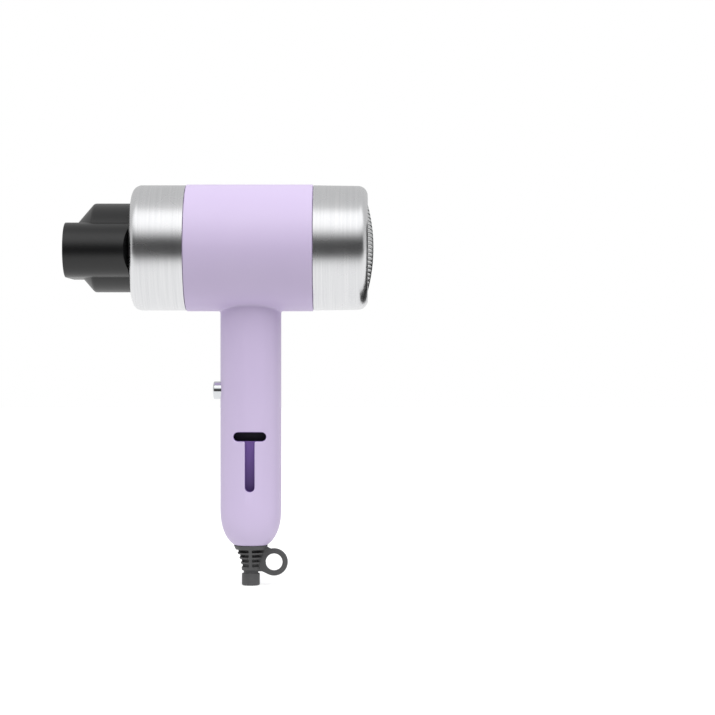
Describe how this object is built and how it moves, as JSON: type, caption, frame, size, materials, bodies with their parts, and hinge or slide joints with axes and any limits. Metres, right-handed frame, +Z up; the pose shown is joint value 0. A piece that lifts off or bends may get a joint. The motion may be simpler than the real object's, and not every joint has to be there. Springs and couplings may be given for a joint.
{
  "type": "travel hair dryer",
  "caption": "Compact T-shaped hair dryer: lilac barrel and straight handle, satin metal end caps, pull-off flat nozzle, domed mesh inlet, side push button and strain relief with hanging ring.",
  "frame": {"origin": "mouth of the cord outlet, on the handle's axis", "axes": "+Z up the handle to the barrel, +X along the barrel from the air outlet to the air inlet, -Y the side with the T-shaped slot"},
  "size_m": [0.1885, 0.0784, 0.2482],
  "materials": {
    "lilac_abs": "satin moulded ABS, pale lilac",
    "lilac_abs_dark": "matt moulded ABS, deep violet",
    "cap_metal": "satin brushed, clear anodised",
    "black_abs": "satin moulded heat-resistant plastic, black",
    "grille_black": "matt heat-resistant plastic, black",
    "spring_steel": "bright drawn spring steel",
    "mesh_steel": "fine perforated stainless sheet",
    "gauze": "fine nylon gauze, dark grey",
    "duct_plastic": "unpigmented flame-retardant plastic",
    "fan_plastic": "matt glass-filled nylon, dark grey",
    "motor_steel": "drawn and zinc-plated steel",
    "lamination": "stacked silicon steel",
    "copper": "turned copper alloy",
    "magnet": "sintered ferrite",
    "rubber_black": "moulded rubber, black",
    "rubber_grey": "moulded PVC, dark grey",
    "mica": "pressed mica sheet",
    "heater_wire": "nickel-chromium resistance wire",
    "ceramic_white": "glazed ceramic and resin",
    "board_green": "glass-epoxy board with solder mask",
    "switch_black": "moulded switch case, black",
    "white_plastic": "moulded nylon, natural white",
    "button_chrome": "chrome plated",
    "capacitor_yellow": "dipped film capacitor",
    "screw_steel": "zinc-plated steel",
    "crimp_red": "insulated crimp sleeve",
    "wire_brown": "PVC-insulated lead",
    "wire_white": "silicone-insulated lead",
    "wire_red": "PVC-insulated lead"
  },
  "bodies": {
    "housing": {"body_shell_near": "lilac_abs", "body_shell_far": "lilac_abs", "front_cap": "cap_metal", "rear_cap": "cap_metal", "outlet_grille": "grille_black", "fan_duct": "duct_plastic", "motor_can": "motor_steel", "motor_magnets": "magnet", "motor_end_cap": "switch_black", "motor_bushes": "copper", "motor_damper": "rubber_black", "motor_terminals": "copper", "mica_sleeve": "mica", "mica_board_upright": "mica", "mica_board_flat": "mica", "heater_coil_main": "heater_wire", "heater_coil_fan": "heater_wire", "thermostat": "ceramic_white", "thermal_fuse": "ceramic_white", "switch_board": "board_green", "micro_switch": "switch_black", "button_spring": "spring_steel", "noise_capacitor": "capacitor_yellow", "rectifier_diodes": "switch_black", "slot_tray": "lilac_abs_dark", "strain_relief": "rubber_grey", "cord_clamp": "white_plastic", "clamp_screws": "screw_steel", "case_screws": "screw_steel", "board_screws": "screw_steel", "crimp_sleeves": "crimp_red", "mains_leads": "wire_brown", "heater_leads": "wire_white", "motor_leads": "wire_red"},
    "nozzle_ring": {"nozzle_snap_ring": "spring_steel"},
    "nozzle": {"nozzle": "black_abs"},
    "filter": {"filter_rim": "black_abs", "filter_mesh": "mesh_steel", "lint_screen": "gauze"},
    "rotor": {"impeller": "fan_plastic", "motor_shaft": "motor_steel", "motor_armature": "lamination", "motor_commutator": "copper"},
    "button": {"power_button": "button_chrome", "switch_plunger": "white_plastic"}
  },
  "joints": [
    {"name": "nozzle_pull", "type": "slide", "parent": "housing", "child": "nozzle_ring", "axis": [-1, 0, 0], "range_m": [0, 0.025]},
    {"name": "nozzle_turn", "type": "hinge", "parent": "nozzle_ring", "child": "nozzle", "pos_m": [-0.0639, 0, 0.209], "axis": [1, 0, 0], "continuous": true},
    {"name": "filter_pull", "type": "slide", "parent": "housing", "child": "filter", "axis": [1, 0, 0], "range_m": [0, 0.025]},
    {"name": "fan_spin", "type": "hinge", "parent": "housing", "child": "rotor", "pos_m": [0.0538, 0, 0.209], "axis": [1, 0, 0], "continuous": true},
    {"name": "button_press", "type": "slide", "parent": "housing", "child": "button", "axis": [1, 0, 0], "range_m": [0, 0.0015], "stiffness_N_per_m": 800, "springref_m": -0.001, "deforming": ["button_spring"]}
  ]
}
